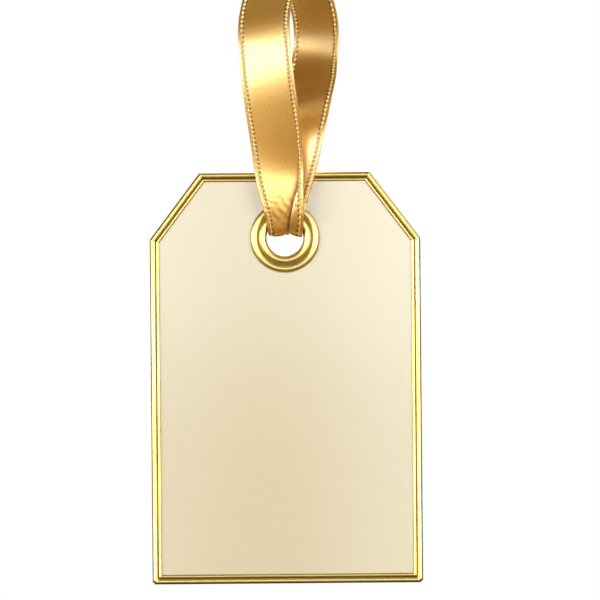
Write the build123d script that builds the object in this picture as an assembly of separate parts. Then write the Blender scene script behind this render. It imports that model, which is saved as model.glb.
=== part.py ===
from build123d import *
import os

# Gift tag: a champagne card in a beaded brass rim, hung on a folded satin ribbon tied through its eyelet.
# Millimetres, +Z up, the face towards -Y. The origin is the inside of the ribbon loop's crown, over the card.

# Card outline and layers
TAG_WIDTH = 50.0
TAG_HEIGHT = 76.0
CORNER_CUT_WIDTH = 9.3
CORNER_CUT_HEIGHT = 12.3
FACE_PAPER = 0.25
CORE_BOARD = 0.9
BACK_PAPER = 0.25

# Rim: one strip folded round the card's edge, pressed into a broad outer bead and a fine inner bead
RIM_METAL = 0.35
RIM_OUTER_BEAD_WIDTH = 1.1
RIM_INNER_BEAD_WIDTH = 0.65
RIM_GROOVE_RISE = 0.14
RIM_BACK_WIDTH = 1.75
RIM_BEAD_RISE_SHARE = 0.42
CARD_EDGE_CLEARANCE = 0.05

# Eyelet: barrel with a domed back flange and a rolled front lip, set over a domed washer
EYELET_BORE = 6.8
EYELET_FROM_TOP = 12.1
EYELET_METAL = 0.3
LIP_WIDTH = 1.55
LIP_EDGE_RISE = 0.08
FLANGE_WIDTH = 2.9
FLANGE_EDGE_RISE = 0.18
WASHER_DOME_WIDTH = 1.5
WASHER_PLATE = 0.25
WASHER_EDGE_RISE = 0.1
LIP_DOME_SHARE = 0.42
FLANGE_DOME_SHARE = 0.2
WASHER_DOME_SHARE = 0.36
EYELET_CLEARANCE = 0.05

# Ribbon: a folded strip, its strands in front of the card and gathered where they bend into the bore
RIBBON_WIDTH = 10.0
RIBBON_THICK = 0.25
LOOP_HEIGHT = 49.5
LOOP_SPREAD = 6.0
LOOP_REACH = 8.0
PLEAT_STEP = 0.6
PLEAT_WEB = 0.3
STRAND_GAP = 0.12
STRAND_LIFT = 0.6
BEND_RADIUS = 1.45
BEND_CLEARANCE = 0.3
BEND_NOTCH = 0.5

# Knot and tails behind the card
KNOT_LENGTH = 9.2
KNOT_HEIGHT = 5.2
KNOT_DEPTH = 4.0
KNOT_FOOT_RISE = 0.5
KNOT_ROUND_SHARE = 0.36
KNOT_BAND_WIDTH = 3.8
KNOT_BAND_PROUD = 0.4
KNOT_BAND_SLANT = 12.0
KNOT_CLEARANCE = 0.3
TAIL_REACH = 11.0
TAIL_FALL = 8.6
TAIL_ROOT_WIDTH = 2.8
TAIL_ROOT_THICK = 0.7
TAIL_CLEARANCE = 0.9

CUT_OVERRUN = 1.0

# Levels and depths that follow from the sizes above
card_thick = FACE_PAPER + CORE_BOARD + BACK_PAPER
card_front = -card_thick / 2
card_back = card_thick / 2
eyelet_level = -LOOP_HEIGHT
tag_top = eyelet_level + EYELET_FROM_TOP
tag_bottom = tag_top - TAG_HEIGHT
rim_face_width = RIM_OUTER_BEAD_WIDTH + RIM_INNER_BEAD_WIDTH
rim_back = card_back + RIM_METAL
bore_radius = EYELET_BORE / 2
barrel_radius = bore_radius + EYELET_METAL
lip_radius = bore_radius + LIP_WIDTH
plate_front = card_front - WASHER_PLATE
lip_front = plate_front - LIP_EDGE_RISE - LIP_WIDTH * LIP_DOME_SHARE
flange_back = card_back + FLANGE_EDGE_RISE + FLANGE_WIDTH * FLANGE_DOME_SHARE

# The ribbon bends into the bore about one line, which is also the line that the card swings about
strand_back = lip_front - STRAND_LIFT
bend_depth = strand_back + BEND_CLEARANCE + BEND_RADIUS
bend_level = eyelet_level + bore_radius - BEND_CLEARANCE - BEND_RADIUS
strand_foot_level = bend_level + bend_depth - lip_front + BEND_CLEARANCE
crown_level = RIBBON_THICK / 2
knot_front = flange_back + KNOT_CLEARANCE
knot_middle = knot_front + KNOT_DEPTH / 2
knot_level = bend_level - BEND_RADIUS + KNOT_FOOT_RISE + KNOT_BAND_PROUD + KNOT_HEIGHT / 2

# Loop stations: height, side, reach, face angle in degrees, width, pleat step, pleat crest.
# Height runs from a strand's foot to the crown; side and reach are offsets from that straight line.
front_strand_shares = [
    (0.00, 0.000, 0.000, 0, 0.66, 1.00, 0.13),
    (0.06, -0.044, -0.066, 0, 0.74, 0.90, 0.27),
    (0.14, -0.118, -0.121, 3, 0.87, 0.60, 0.55),
    (0.26, -0.199, -0.286, 6, 0.95, 0.20, 0.70),
    (0.41, -0.333, -0.590, 11, 1.00, 0.00, 0.70),
    (0.56, -0.486, -0.822, 15, 1.00, 0.00, 0.70),
    (0.70, -0.575, -0.884, 18, 1.00, 0.00, 0.70),
    (0.82, -0.542, -0.773, 20, 1.00, 0.00, 0.70),
    (0.91, -0.392, -0.546, 23, 1.00, 0.00, 0.70),
    (0.972, -0.219, -0.280, 28, 1.00, 0.00, 0.70),
]
crown_shares = [(1.00, 0.000, 0.000, 31, 1.00, 0.00, 0.70)]
back_strand_shares = [
    (0.972, 0.316, 0.308, 33, 1.00, 0.00, 0.70),
    (0.91, 0.751, 0.547, 34, 1.00, 0.00, 0.70),
    (0.82, 0.975, 0.674, 34, 1.00, 0.00, 0.70),
    (0.71, 1.020, 0.792, 34, 1.00, 0.00, 0.70),
    (0.61, 0.920, 0.683, 30, 1.00, 0.00, 0.70),
    (0.515, 0.770, 0.274, 26, 1.00, 0.00, 0.70),
    (0.43, 0.603, -0.025, 21, 1.00, 0.00, 0.70),
    (0.36, 0.463, -0.158, 16, 1.00, 0.00, 0.70),
    (0.26, 0.292, -0.178, 10, 1.00, 0.00, 0.70),
    (0.16, 0.133, -0.091, 5, 0.95, 0.00, 0.70),
    (0.07, 0.050, -0.023, 0, 0.82, 0.00, 0.70),
    (0.00, 0.000, 0.000, 0, 0.66, 0.00, 0.70),
]

# Knot sections: distance along its half length, size
knot_shares = [(-1.0, 0.55), (-0.5, 0.75), (0.0, 1.0), (0.5, 0.75), (1.0, 0.55)]

# Tail stations: reach, fall, approach to the card, width, thinning, slant of the cut in degrees
tail_shares = [
    (0.00, 0.00, 0.00, 0.00, 0.00, 0),
    (0.28, 0.10, 0.35, 0.45, 0.60, 0),
    (0.62, 0.45, 0.85, 0.90, 0.95, 0),
    (1.00, 1.00, 1.00, 1.00, 1.00, 38),
]


def card_outline(inset):
    """Six corners of the tag, clockwise from the top right, moved in by inset; the top corners are cut."""
    half = TAG_WIDTH / 2
    slope = (CORNER_CUT_WIDTH**2 + CORNER_CUT_HEIGHT**2) ** 0.5
    along_top = inset * (slope - CORNER_CUT_WIDTH) / CORNER_CUT_HEIGHT
    down_side = inset * (slope - CORNER_CUT_HEIGHT) / CORNER_CUT_WIDTH
    right = [
        (half - CORNER_CUT_WIDTH - along_top, tag_top - inset),
        (half - inset, tag_top - CORNER_CUT_HEIGHT - down_side),
        (half - inset, tag_bottom + inset),
    ]
    return right + [(-x, z) for x, z in reversed(right)]


def card_layer(front, thick):
    """One sheet of the card, with its hole for the eyelet's barrel."""
    corners = card_outline(RIM_METAL + CARD_EDGE_CLEARANCE)
    outline = Polyline(*[(x, front, z) for x, z in corners], close=True)
    sheet = extrude(make_face(outline), amount=thick, dir=(0, 1, 0))
    drill = Cylinder(barrel_radius + EYELET_CLEARANCE, thick + 2 * CUT_OVERRUN)
    return sheet - Plane(origin=(0, front + thick / 2, eyelet_level), z_dir=(0, 1, 0)) * drill


def rim():
    """The strip's section, inward and forward from the card's edge, carried round with mitred corners."""
    start_level = (tag_top + tag_bottom) / 2
    frame = Plane(origin=(TAG_WIDTH / 2, card_front, start_level), x_dir=(-1, 0, 0), z_dir=(0, 0, 1))

    def at(inward, forward):
        return frame.from_local_coords((inward, forward))

    outer_crown = RIM_GROOVE_RISE + RIM_OUTER_BEAD_WIDTH * RIM_BEAD_RISE_SHARE
    inner_crown = RIM_GROOVE_RISE + RIM_INNER_BEAD_WIDTH * RIM_BEAD_RISE_SHARE
    shoulder = at(0, RIM_GROOVE_RISE)
    groove = at(RIM_OUTER_BEAD_WIDTH, RIM_GROOVE_RISE)
    face_edge = at(rim_face_width, RIM_GROOVE_RISE)
    section = make_face([
        ThreePointArc(shoulder, at(RIM_OUTER_BEAD_WIDTH / 2, outer_crown), groove),
        ThreePointArc(groove, at(RIM_OUTER_BEAD_WIDTH + RIM_INNER_BEAD_WIDTH / 2, inner_crown), face_edge),
        Polyline(
            face_edge,
            at(rim_face_width, 0),
            at(RIM_METAL, 0),
            at(RIM_METAL, -card_thick),
            at(RIM_BACK_WIDTH, -card_thick),
            at(RIM_BACK_WIDTH, -card_thick - RIM_METAL),
            at(0, -card_thick - RIM_METAL),
            shoulder,
        ),
    ])
    corners = card_outline(0)
    walk = [(TAG_WIDTH / 2, start_level)] + corners[2:] + corners[:2]
    path = Polyline(*[(x, card_front, z) for x, z in walk], close=True)
    return sweep(section, path=path, transition=Transition.RIGHT)


def turned(steps):
    """A ring turned about the eyelet's axis: steps are radius and depth, or an arc's crown and its end."""

    def at(radius, depth):
        return (radius, depth, eyelet_level)

    here = steps[0]
    edges = []
    for step in steps[1:] + steps[:1]:
        if len(step) == 4:
            edges.append(ThreePointArc(at(*here), at(*step[:2]), at(*step[2:])))
        else:
            edges.append(Line(at(*here), at(*step)))
        here = step[-2:]
    return revolve(make_face(edges), axis=Axis(at(0, 0), (0, 1, 0)))


def eyelet():
    """Barrel through the card, flange domed at the back, lip rolled out over the washer's plate."""
    lip_edge = plate_front - LIP_EDGE_RISE
    flange_radius = bore_radius + FLANGE_WIDTH
    flange_edge = card_back + FLANGE_EDGE_RISE
    return turned([
        (bore_radius, lip_edge),
        (bore_radius + LIP_WIDTH / 2, lip_front, lip_radius, lip_edge),
        (lip_radius, plate_front),
        (barrel_radius, plate_front),
        (barrel_radius, card_back),
        (flange_radius, card_back),
        (flange_radius, flange_edge),
        (bore_radius + FLANGE_WIDTH / 2, flange_back, bore_radius, flange_edge),
    ])


def eyelet_washer():
    """Ring on the card's face: a thin plate under the lip and a dome outside it."""
    plate_radius = barrel_radius + EYELET_CLEARANCE
    dome_start = lip_radius + EYELET_CLEARANCE
    washer_radius = dome_start + WASHER_DOME_WIDTH
    dome_crown = plate_front - WASHER_DOME_WIDTH * WASHER_DOME_SHARE
    return turned([
        (plate_radius, card_front),
        (washer_radius, card_front),
        (washer_radius, card_front - WASHER_EDGE_RISE),
        (dome_start + WASHER_DOME_WIDTH / 2, dome_crown, dome_start, plate_front),
        (plate_radius, plate_front),
    ])


def ribbon_section(centre, along, face_angle, width_share, step_share, crest_share):
    """Eight corners of the ribbon cut square to its run; a gathered stretch is thicker as it is narrower."""
    across = Vector(1, 0, 0).rotate(Axis.Z, -face_angle)
    across = (across - along * across.dot(along)).normalized()
    outward = across.cross(along).normalized()
    half = RIBBON_WIDTH * width_share / 2
    thick = RIBBON_THICK / width_share
    step = PLEAT_STEP * step_share
    crest = half * crest_share
    spine = [(-half, 0), (crest - PLEAT_WEB / 2, 0), (crest + PLEAT_WEB / 2, step), (half, step)]
    outer = [centre + across * a + outward * (b + thick / 2) for a, b in spine]
    inner = [centre + across * a + outward * (b - thick / 2) for a, b in reversed(spine)]
    return make_face(Polyline(*outer, *inner, close=True))


def run_direction(centres, place):
    """Direction of a line of points at one of them, from its neighbours."""
    before = centres[max(place - 1, 0)]
    after = centres[min(place + 1, len(centres) - 1)]
    return (after - before).normalized()


def loop_centres(rows):
    """Middle line of the loop, up the front strand, over the crown and down the back strand."""
    back_thick = RIBBON_THICK / back_strand_shares[-1][4]
    front_thick = RIBBON_THICK / front_strand_shares[0][4]
    back_foot = strand_back - back_thick / 2
    front_foot = strand_back - back_thick - STRAND_GAP - front_thick / 2
    centres = []
    for place, (height, side, reach, *_rest) in enumerate(rows):
        foot_depth = front_foot if place < len(front_strand_shares) else back_foot
        level = strand_foot_level + (crown_level - strand_foot_level) * height
        depth = foot_depth * (1 - height) + LOOP_REACH * reach
        centres.append(Vector(LOOP_SPREAD * side, depth, level))
    return centres


def ribbon_loop():
    """Both strands as one folded strip, each lofted through its sections up to the crown that they share."""
    rows = front_strand_shares + crown_shares + back_strand_shares
    centres = loop_centres(rows)
    sections = [
        ribbon_section(centre, run_direction(centres, place), *rows[place][3:])
        for place, centre in enumerate(centres)
    ]
    crown = len(front_strand_shares)
    solid = loft(sections[: crown + 1]) + loft(sections[crown:])
    length = sum((b - a).length for a, b in zip(centres, centres[1:]))
    strip = length * RIBBON_WIDTH * RIBBON_THICK
    print(f"ribbon loop {length:.1f} mm long, volume {solid.volume:.1f}, flat strip {strip:.1f}")
    return solid


def ribbon_throat():
    """Both strands gathered through the bore, rounded where they bend in, notched along the pleat."""
    front = bend_depth - BEND_RADIUS
    length = knot_front - front
    middle = (knot_front + front) / 2
    through = Cylinder(bore_radius - BEND_CLEARANCE, length)
    bundle = Plane(origin=(0, middle, eyelet_level), z_dir=(0, 1, 0)) * through
    run = knot_front - bend_depth
    slab = Pos(0, bend_depth + run / 2, bend_level) * Box(EYELET_BORE, run, 2 * BEND_RADIUS)
    bend = Pos(0, bend_depth, bend_level) * Rot(0, 90, 0) * Cylinder(BEND_RADIUS, EYELET_BORE)
    notch = Rot(0, 45, 0) * Box(BEND_NOTCH, length + 2 * CUT_OVERRUN, BEND_NOTCH)
    return (bundle & (slab + bend)) - Pos(0, middle, bend_level - BEND_RADIUS) * notch


def knot_section(offset, height, depth):
    """Rounded upright section of the knot, at a distance along it."""
    frame = Plane(origin=(offset, knot_middle, knot_level), x_dir=(0, 1, 0), z_dir=(1, 0, 0))
    return frame * RectangleRounded(depth, height, KNOT_ROUND_SHARE * min(depth, height))


def ribbon_knot():
    """Spindle of the tied ends with the wrap of one end round its middle, flat where it meets the bundle."""
    body = loft([
        knot_section(KNOT_LENGTH / 2 * along, KNOT_HEIGHT * size, KNOT_DEPTH * size)
        for along, size in knot_shares
    ])
    band_height = KNOT_HEIGHT + 2 * KNOT_BAND_PROUD
    band_depth = KNOT_DEPTH + 2 * KNOT_BAND_PROUD
    band = extrude(knot_section(-KNOT_BAND_WIDTH / 2, band_height, band_depth), amount=KNOT_BAND_WIDTH)
    band = band.rotate(Axis((0, knot_middle, knot_level), (0, 1, 0)), KNOT_BAND_SLANT)
    cut = Box(2 * KNOT_LENGTH, KNOT_DEPTH, 2 * KNOT_LENGTH, align=(Align.CENTER, Align.MAX, Align.CENTER))
    return body + band - Pos(0, knot_front, knot_level) * cut


def ribbon_tail(side):
    """One end of the ribbon, out of the knot's end and drooping behind the card to a slanted cut."""
    approach = knot_middle - rim_back - TAIL_CLEARANCE
    start = Vector(side * KNOT_LENGTH / 2, knot_middle, knot_level)
    centres = [
        start + Vector(side * TAIL_REACH * reach, -approach * nearer, -TAIL_FALL * fall)
        for reach, fall, nearer, *_rest in tail_shares
    ]
    sections = []
    for place, (*_place, width_share, thin_share, slant) in enumerate(tail_shares):
        along = run_direction(centres, place) if place else Vector(side, 0, 0)
        facing = Vector(0, 1, 0)
        facing = (facing - along * facing.dot(along)).normalized()
        across = facing.cross(along).normalized().rotate(Axis((0, 0, 0), facing), side * slant)
        half_width = (TAIL_ROOT_WIDTH + (RIBBON_WIDTH - TAIL_ROOT_WIDTH) * width_share) / 2
        half_thick = (TAIL_ROOT_THICK + (RIBBON_THICK - TAIL_ROOT_THICK) * thin_share) / 2
        corners = [
            centres[place] + across * (half_width * a) + facing * (half_thick * b)
            for a, b in [(-1, -1), (1, -1), (1, 1), (-1, 1)]
        ]
        sections.append(make_face(Polyline(*corners, close=True)))
    solid = loft(sections)
    length = sum((b - a).length for a, b in zip(centres, centres[1:]))
    print(f"ribbon tail {length:.1f} mm long, volume {solid.volume:.1f}")
    return solid


core_front = card_front + FACE_PAPER
nodes = {
    "front_sheet": card_layer(card_front, FACE_PAPER),
    "core_board": card_layer(core_front, CORE_BOARD),
    "back_sheet": card_layer(core_front + CORE_BOARD, BACK_PAPER),
    "rim": rim(),
    "eyelet": eyelet(),
    "eyelet_washer": eyelet_washer(),
    "ribbon_loop": ribbon_loop(),
    "ribbon_throat": ribbon_throat(),
    "ribbon_knot": ribbon_knot(),
    "ribbon_tail_left": ribbon_tail(-1),
    "ribbon_tail_right": ribbon_tail(1),
}

os.makedirs("parts", exist_ok=True)
for name, shape in nodes.items():
    export_step(shape, f"parts/{name}.step")
print(f"card swings about y {bend_depth:.3f}, z {bend_level:.3f}, turns about z {eyelet_level:.3f}")
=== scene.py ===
# %% [markdown]
# # A gift tag on a satin ribbon
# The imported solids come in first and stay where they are. Everything below is in metres, in their frame:
# the origin is the inside of the ribbon loop's crown, the card hangs under it and its face looks towards
# -Y. The ribbon and the metal are made again as finer surfaces that take the solids' places. The papers
# keep their solids.

# %% Load the solids
import functools
import math

import bmesh
import bpy
import numpy as np
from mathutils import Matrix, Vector


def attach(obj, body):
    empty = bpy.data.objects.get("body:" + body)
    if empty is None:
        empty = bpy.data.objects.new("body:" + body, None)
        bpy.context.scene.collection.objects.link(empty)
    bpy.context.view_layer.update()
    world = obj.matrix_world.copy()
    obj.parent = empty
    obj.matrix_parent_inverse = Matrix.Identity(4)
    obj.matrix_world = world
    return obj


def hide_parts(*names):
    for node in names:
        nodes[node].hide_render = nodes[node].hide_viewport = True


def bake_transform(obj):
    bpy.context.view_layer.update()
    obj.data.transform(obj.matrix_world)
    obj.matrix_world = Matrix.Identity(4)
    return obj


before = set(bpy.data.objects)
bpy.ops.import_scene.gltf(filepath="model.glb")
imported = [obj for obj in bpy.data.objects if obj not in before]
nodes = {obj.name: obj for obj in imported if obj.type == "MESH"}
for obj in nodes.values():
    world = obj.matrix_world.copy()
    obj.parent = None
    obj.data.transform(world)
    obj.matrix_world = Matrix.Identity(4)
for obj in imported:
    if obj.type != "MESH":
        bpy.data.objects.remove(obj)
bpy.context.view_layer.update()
print("solids:", ", ".join(sorted(nodes)))

# %% [markdown]
# ## The camera
# The tag is photographed square on with a long lens, so its sides stay parallel. An orthographic camera
# could do that, but one that stands well off with a narrow view keeps the little perspective that there
# is. The tag hangs half a degree off plumb in the picture, and a roll of the camera gives that without
# turning the tag.

# %% Camera
MM = 0.001
PICTURE_WIDTH = 111.0 * MM
PICTURE_CENTRE = (2.68 * MM, -61.06 * MM)
CAMERA_DISTANCE = 0.7
CAMERA_ROLL = math.radians(0.5)
SENSOR_WIDTH = 36.0

camera = bpy.data.objects.new("camera", bpy.data.cameras.new("camera"))
bpy.context.scene.collection.objects.link(camera)
camera.data.sensor_width = SENSOR_WIDTH
camera.data.lens = SENSOR_WIDTH * CAMERA_DISTANCE / PICTURE_WIDTH
camera.location = (PICTURE_CENTRE[0], -CAMERA_DISTANCE, PICTURE_CENTRE[1])
camera.rotation_euler = (math.radians(90), CAMERA_ROLL, 0)
camera.data.clip_start = 0.01
camera.data.clip_end = 50.0
bpy.context.scene.camera = camera
bpy.context.scene.view_settings.view_transform = "Standard"
print(f"lens {camera.data.lens:.0f} mm, picture {PICTURE_WIDTH / MM:.1f} mm wide at the card")

# %% [markdown]
# ## Colours and nodes
# Colours are written as a painter's hex values and turned to linear light once. One small function adds a
# node to a material, sets it and links its inputs, which keeps each recipe readable from top to bottom.

# %% Helpers for finishes


def paint(code):
    """sRGB hex to linear RGBA: up to 0.04045 the value over 12.92, above it (c + 0.055) / 1.055 to the
    power 2.4."""
    c = np.array([int(code[i:i + 2], 16) for i in (1, 3, 5)]) / 255
    linear = np.where(c <= 0.04045, c / 12.92, ((c + 0.055) / 1.055) ** 2.4)
    return (*linear.tolist(), 1.0)


def add(tree, kind, inputs=None, **settings):
    """One node of a kind: settings are its properties, inputs its sockets, each a value or an output to
    link."""
    made = tree.nodes.new(kind)
    for name, value in settings.items():
        setattr(made, name, value)
    for socket, value in (inputs or {}).items():
        if isinstance(value, bpy.types.NodeSocket):
            tree.links.new(value, made.inputs[socket])
        else:
            made.inputs[socket].default_value = value
    return made


def new_finish(name):
    """A material with an empty tree."""
    finish = bpy.data.materials.new(name)
    finish.use_nodes = True
    finish.node_tree.nodes.clear()
    return finish, finish.node_tree


print("white is", paint("#ffffff"))

# %% [markdown]
# ## Light
# A small bright object in a studio stands between two softboxes at its own height, with a weak one
# overhead and one behind for its back. The side boxes are wide and low, so bands of light cross the satin
# and the upright beads shine. Area lamps are softboxes. A sun lamp would be simpler, but it would cut
# hard shadows.

# %% Softboxes
LIGHT_AIM = np.array([0.0, 0.0, -0.045])


def softbox(name, place, width, height, power):
    """A rectangular lamp at a place, turned to a point just over the eyelet."""
    lamp = bpy.data.lights.new(name, "AREA")
    lamp.shape = "RECTANGLE"
    lamp.size = width
    lamp.size_y = height
    lamp.energy = power
    box = bpy.data.objects.new(name, lamp)
    bpy.context.scene.collection.objects.link(box)
    box.location = place
    box.rotation_euler = Vector(LIGHT_AIM - np.array(place)).to_track_quat("-Z", "Y").to_euler()
    print(f"{name}: {width:.2f} x {height:.2f} m, {power:.2f} W")


softbox("softbox_left", (-0.55, -0.58, -0.01), width=0.68, height=0.36, power=4.1)
softbox("softbox_right", (0.49, -0.63, -0.01), width=0.50, height=0.37, power=3.2)
softbox("softbox_top", (-0.08, -0.55, 0.92), width=0.44, height=0.24, power=0.35)
softbox("softbox_behind", (0.10, 0.60, 0.45), width=0.50, height=0.50, power=6.2)

# %% [markdown]
# ## The room
# Gloss looks like what it mirrors. The room that the metal, the satin and the pearl paper see is dim,
# with a white backdrop behind the tag and a reflector card high on the right. Two white panels stand in
# front, with a gap between them below the camera's height: the pearl paper shows them as a broad sheen on
# its top and sides, and the gap as its dimmer middle. A picture of a studio could be wrapped round the
# world instead, but smooth bands of the direction's X, Y and Z need no file. The camera sees plain white,
# and dull surfaces take a modest share of it as fill.

# %% Bands of the room
ROOM_DARK = 0.07
PANEL_RIGHT = 1.4
PANEL_LOW = 0.35
REFLECTOR = 1.0

world = bpy.data.worlds.new("studio")
world.use_nodes = True
bpy.context.scene.world = world
tree = world.node_tree
tree.nodes.clear()
way = add(tree, "ShaderNodeTexCoord")
look = add(tree, "ShaderNodeSeparateXYZ", {0: way.outputs["Generated"]})
bands = {}
# the direction's axis, where along it the band starts and ends, and its value at these two
for name, axis, start, end, first, last in (
    ("backdrop", "Y", 0.48, 0.80, ROOM_DARK, 1.0),
    ("front", "Y", -0.75, -0.45, 1.0, 0.0),
    ("below", "Z", 0.10, 0.28, 1.0, 0.0),
    ("panel_foot", "Z", -0.22, -0.12, PANEL_LOW, 1.0),
    ("panel_rise", "Z", -0.026, 0.0, 0.0, 1.0),
    ("panel_right", "X", 0.004, 0.014, 0.0, PANEL_RIGHT),
    ("panel_left", "X", -0.028, -0.016, 1.0, 0.0),
    ("reflector_side", "X", 0.35, 0.55, 0.0, REFLECTOR),
    ("reflector_foot", "Z", 0.22, 0.40, 0.0, 1.0),
    ("reflector_head", "Z", 0.88, 0.75, 0.0, 1.0),
    ("reflector_near", "Y", -0.75, -0.50, 0.0, 1.0),
    ("reflector_far", "Y", 0.60, 0.35, 0.0, 1.0),
):
    band = add(tree, "ShaderNodeMapRange", {
        "Value": look.outputs[axis],
        "From Min": start,
        "From Max": end,
        "To Min": first,
        "To Max": last,
    }, interpolation_type="SMOOTHSTEP")
    bands[name] = band.outputs["Result"]
print("bands of the room:", ", ".join(bands))

# %% World
FILL_STRENGTH = 0.17
ROOM_FRONT = 0.16

panels = bands["panel_right"]
for more in (bands["panel_left"], bands["panel_rise"], ROOM_FRONT):
    panels = add(tree, "ShaderNodeMath", {0: panels, 1: more}).outputs[0]
for mask in ("front", "below", "panel_foot"):
    panels = add(tree, "ShaderNodeMath", {0: panels, 1: bands[mask]}, operation="MULTIPLY").outputs[0]
# the slanting beads show the reflector card
reflector = bands["reflector_side"]
for mask in ("reflector_foot", "reflector_head", "reflector_near", "reflector_far"):
    reflector = add(tree, "ShaderNodeMath", {0: reflector, 1: bands[mask]}, operation="MULTIPLY").outputs[0]
room = bands["backdrop"]
for more in (panels, reflector):
    room = add(tree, "ShaderNodeMath", {0: room, 1: more}).outputs[0]
ray = add(tree, "ShaderNodeLightPath")
glossy = add(tree, "ShaderNodeMath", {
    0: ray.outputs["Is Glossy Ray"],
    1: ray.outputs["Is Transmission Ray"],
}, operation="MAXIMUM")
seen_in_gloss = add(tree, "ShaderNodeMix", {0: glossy.outputs[0], 2: FILL_STRENGTH, 3: room})
strength = add(tree, "ShaderNodeMix", {0: ray.outputs["Is Camera Ray"], 2: seen_in_gloss.outputs[0], 3: 1.0})
ground = add(tree, "ShaderNodeBackground", {"Color": paint("#ffffff"), "Strength": strength.outputs[0]})
add(tree, "ShaderNodeOutputWorld", {"Surface": ground.outputs[0]})
print(f"fill {FILL_STRENGTH}, room in gloss from {ROOM_DARK} up, white for the camera")

# %% [markdown]
# ## The floor
# The tag hangs well above a plain pale floor, which shows in views from above. One square face is enough
# for it. For the camera it fades to the plain white of the ground towards its edge, as a studio sweep
# does, so that no edge shows. In gloss it is a dim warm board, brighter near the camera, which colours
# the low side of every bead.

# %% Floor
FLOOR_LEVEL = -0.70
FLOOR_HALF = 1.6

floor_mesh = bpy.data.meshes.new("floor")
corners = np.array([(-1, -1), (1, -1), (1, 1), (-1, 1)]) * FLOOR_HALF
floor_mesh.from_pydata(np.c_[corners, np.full(4, FLOOR_LEVEL)].tolist(), [], [(0, 1, 2, 3)])
floor = bpy.data.objects.new("floor", floor_mesh)
bpy.context.scene.collection.objects.link(floor)

# %% Pale floor for the camera
FLOOR_GLOW = 0.65
SWEEP_START, SWEEP_END = 0.30, FLOOR_HALF - 0.10

# matt paint: an even pale ground that keeps the object's shadow
finish, tree = new_finish("pale_floor")
ray = add(tree, "ShaderNodeLightPath")
matt = add(tree, "ShaderNodeBsdfDiffuse", {"Color": paint("#f4f2ee")})
seen = add(tree, "ShaderNodeMath", {0: ray.outputs["Is Camera Ray"], 1: FLOOR_GLOW}, operation="MULTIPLY")
glow = add(tree, "ShaderNodeEmission", {"Color": paint("#ffffff"), "Strength": seen.outputs[0]})
lit = add(tree, "ShaderNodeAddShader", {0: matt.outputs[0], 1: glow.outputs[0]})
place = add(tree, "ShaderNodeTexCoord")
spot = add(tree, "ShaderNodeSeparateXYZ", {0: place.outputs["Object"]})
on_plan = add(tree, "ShaderNodeCombineXYZ", {"X": spot.outputs["X"], "Y": spot.outputs["Y"]})
off_middle = add(tree, "ShaderNodeVectorMath", {0: on_plan.outputs[0]}, operation="LENGTH")
sweep = add(tree, "ShaderNodeMapRange", {
    "Value": off_middle.outputs["Value"],
    "From Min": SWEEP_START,
    "From Max": SWEEP_END,
}, interpolation_type="SMOOTHSTEP")
faded = add(tree, "ShaderNodeMath", {
    0: sweep.outputs["Result"],
    1: ray.outputs["Is Camera Ray"],
}, operation="MULTIPLY")
white = add(tree, "ShaderNodeEmission", {"Color": paint("#ffffff"), "Strength": 1.0})
swept = add(tree, "ShaderNodeMixShader", {0: faded.outputs[0], 1: lit.outputs[0], 2: white.outputs[0]})
print(f"floor fades to white from {SWEEP_START:.1f} to {SWEEP_END:.1f} m out")

# %% Pale floor in gloss
MIRROR_NEAR, MIRROR_FAR = -0.65, -0.25
MIRROR_BRIGHT, MIRROR_DIM = 0.38, 0.05

mirrored = add(tree, "ShaderNodeMapRange", {
    "Value": spot.outputs["Y"],
    "From Min": MIRROR_NEAR,
    "From Max": MIRROR_FAR,
    "To Min": MIRROR_BRIGHT,
    "To Max": MIRROR_DIM,
}, interpolation_type="SMOOTHSTEP")
shine = add(tree, "ShaderNodeEmission", {"Color": paint("#ffdca4"), "Strength": mirrored.outputs["Result"]})
glossy = add(tree, "ShaderNodeMath", {
    0: ray.outputs["Is Glossy Ray"],
    1: ray.outputs["Is Transmission Ray"],
}, operation="MAXIMUM")
both = add(tree, "ShaderNodeMixShader", {0: glossy.outputs[0], 1: swept.outputs[0], 2: shine.outputs[0]})
add(tree, "ShaderNodeOutputMaterial", {"Surface": both.outputs[0]})
floor_mesh.materials.append(finish)
print("floor finish:", finish.name)

# %% [markdown]
# ## The ribbon's line
# One strip leaves the knot behind the card, comes through the eyelet, rises in front, turns over the
# crown and goes back the same way. It is a table of stations: where the middle of the strip is, which way
# it faces, and how far it is folded on itself. A cubic spline through the table has no kinks, as a
# springy satin strip has none. A cloth simulation would need the same line to start from, and would lose
# the photograph's folds.

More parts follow.
